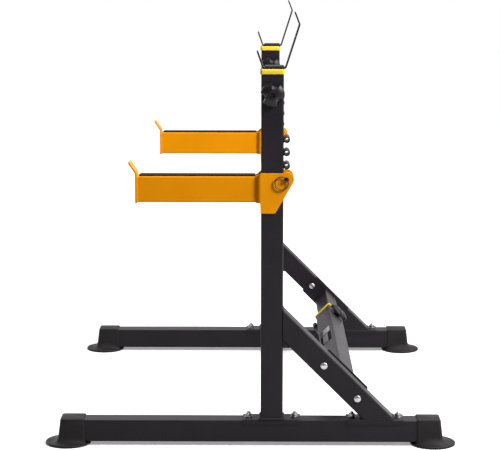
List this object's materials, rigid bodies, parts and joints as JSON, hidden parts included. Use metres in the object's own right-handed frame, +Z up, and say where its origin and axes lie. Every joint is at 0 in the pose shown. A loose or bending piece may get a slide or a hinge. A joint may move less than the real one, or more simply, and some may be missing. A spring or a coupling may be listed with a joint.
{
  "type": "squat rack",
  "caption": "Free-standing squat rack: two tube frames on a telescopic crossbar, height-adjustable bar cradles, pinned spotter arms and flared rubber feet.",
  "frame": {"origin": "on the floor, midway between the four feet", "axes": "+X to the rear, away from the spotter arms' free ends; +Y to the left of a lifter who faces +X; +Z up"},
  "size_m": [1.1174, 1.243, 1.1715],
  "materials": {
    "black_powder_coat": "satin",
    "orange_powder_coat": "satin",
    "yellow_plastic": "satin",
    "black_plastic": "matte",
    "black_rubber": "matte",
    "zinc_steel": "bright plated",
    "dark_steel": "dark oxide"
  },
  "bodies": {
    "right_frame": {"right_base_tube": "black_powder_coat", "right_front_foot": "black_rubber", "right_rear_foot": "black_rubber", "right_upright_saddle": "black_powder_coat", "right_brace_saddle": "black_powder_coat", "right_upright_front_bolt": "zinc_steel", "right_upright_rear_bolt": "zinc_steel", "right_brace_front_bolt": "zinc_steel", "right_brace_rear_bolt": "zinc_steel", "right_upright_tube": "black_powder_coat", "right_brace_tube": "black_powder_coat", "right_brace_gusset": "black_powder_coat", "right_upright_collar": "yellow_plastic", "right_crossbar_bolt_upper": "zinc_steel", "right_crossbar_bolt_lower": "zinc_steel", "crossbar_outer_plate": "black_powder_coat", "crossbar_outer_tube": "black_powder_coat", "crossbar_collar": "yellow_plastic"},
    "left_frame": {"left_base_tube": "black_powder_coat", "left_front_foot": "black_rubber", "left_rear_foot": "black_rubber", "left_upright_saddle": "black_powder_coat", "left_brace_saddle": "black_powder_coat", "left_upright_front_bolt": "zinc_steel", "left_upright_rear_bolt": "zinc_steel", "left_brace_front_bolt": "zinc_steel", "left_brace_rear_bolt": "zinc_steel", "left_upright_tube": "black_powder_coat", "left_brace_tube": "black_powder_coat", "left_brace_gusset": "black_powder_coat", "left_upright_collar": "yellow_plastic", "left_crossbar_bolt_upper": "zinc_steel", "left_crossbar_bolt_lower": "zinc_steel", "crossbar_inner_plate": "black_powder_coat", "crossbar_inner_tube": "black_powder_coat"},
    "crossbar_upper_knob": {"crossbar_upper_knob": "black_plastic"},
    "crossbar_lower_knob": {"crossbar_lower_knob": "black_plastic"},
    "right_post": {"right_post": "black_powder_coat", "right_cradle": "black_powder_coat", "right_cradle_pad": "black_rubber"},
    "right_post_knob": {"right_post_knob": "black_plastic"},
    "right_arm": {"right_arm_bracket": "orange_powder_coat", "right_arm_tube": "orange_powder_coat", "right_arm_end_stop": "orange_powder_coat", "right_arm_pad": "black_rubber", "right_arm_liner": "black_rubber"},
    "right_pin": {"right_arm_pin": "dark_steel"},
    "right_ring": {"right_pin_ring": "zinc_steel"},
    "left_post": {"left_post": "black_powder_coat", "left_cradle": "black_powder_coat", "left_cradle_pad": "black_rubber"},
    "left_post_knob": {"left_post_knob": "black_plastic"},
    "left_arm": {"left_arm_bracket": "orange_powder_coat", "left_arm_tube": "orange_powder_coat", "left_arm_end_stop": "orange_powder_coat", "left_arm_pad": "black_rubber", "left_arm_liner": "black_rubber"},
    "left_pin": {"left_arm_pin": "dark_steel"},
    "left_ring": {"left_pin_ring": "zinc_steel"}
  },
  "joints": [
    {"name": "width_slide", "type": "slide", "parent": "right_frame", "child": "left_frame", "axis": [0, 1, 0], "range_m": [-0.2, 0.2]},
    {"name": "crossbar_upper_knob_turn", "type": "hinge", "parent": "right_frame", "child": "crossbar_upper_knob", "pos_m": [0.26764, 0.1846, 0.20195], "axis": [0.7071, 0, 0.7071], "range_deg": [0, 720]},
    {"name": "crossbar_lower_knob_turn", "type": "hinge", "parent": "right_frame", "child": "crossbar_lower_knob", "pos_m": [0.22055, 0.1746, 0.15486], "axis": [-0.7071, 0, -0.7071], "range_deg": [0, 720]},
    {"name": "right_post_slide", "type": "slide", "parent": "right_frame", "child": "right_post", "axis": [0, 0, 1], "range_m": [0, 0.5]},
    {"name": "right_post_knob_turn", "type": "hinge", "parent": "right_frame", "child": "right_post_knob", "pos_m": [0.0575, -0.5933, 0.9565], "axis": [0, -1, 0], "range_deg": [0, 720]},
    {"name": "right_arm_tilt", "type": "hinge", "parent": "right_frame", "child": "right_arm", "pos_m": [0.0955, -0.56, 0.7313], "axis": [0, 1, 0], "range_deg": [0, 14]},
    {"name": "right_pin_pull", "type": "slide", "parent": "right_arm", "child": "right_pin", "axis": [0, -1, 0], "range_m": [0, 0.085]},
    {"name": "right_ring_swing", "type": "hinge", "parent": "right_pin", "child": "right_ring", "pos_m": [0.0955, -0.6013, 0.7313], "axis": [-0.6157, 0, 0.788], "range_deg": [0, 90]},
    {"name": "left_post_slide", "type": "slide", "parent": "left_frame", "child": "left_post", "axis": [0, 0, 1], "range_m": [0, 0.5]},
    {"name": "left_post_knob_turn", "type": "hinge", "parent": "left_frame", "child": "left_post_knob", "pos_m": [0.0575, 0.5267, 0.9565], "axis": [0, -1, 0], "range_deg": [0, 720]},
    {"name": "left_arm_tilt", "type": "hinge", "parent": "left_frame", "child": "left_arm", "pos_m": [0.0955, 0.56, 0.7313], "axis": [0, 1, 0], "range_deg": [0, 14]},
    {"name": "left_pin_pull", "type": "slide", "parent": "left_arm", "child": "left_pin", "axis": [0, -1, 0], "range_m": [0, 0.085]},
    {"name": "left_ring_swing", "type": "hinge", "parent": "left_pin", "child": "left_ring", "pos_m": [0.0955, 0.5187, 0.7313], "axis": [-0.6157, 0, 0.788], "range_deg": [0, 90]}
  ]
}
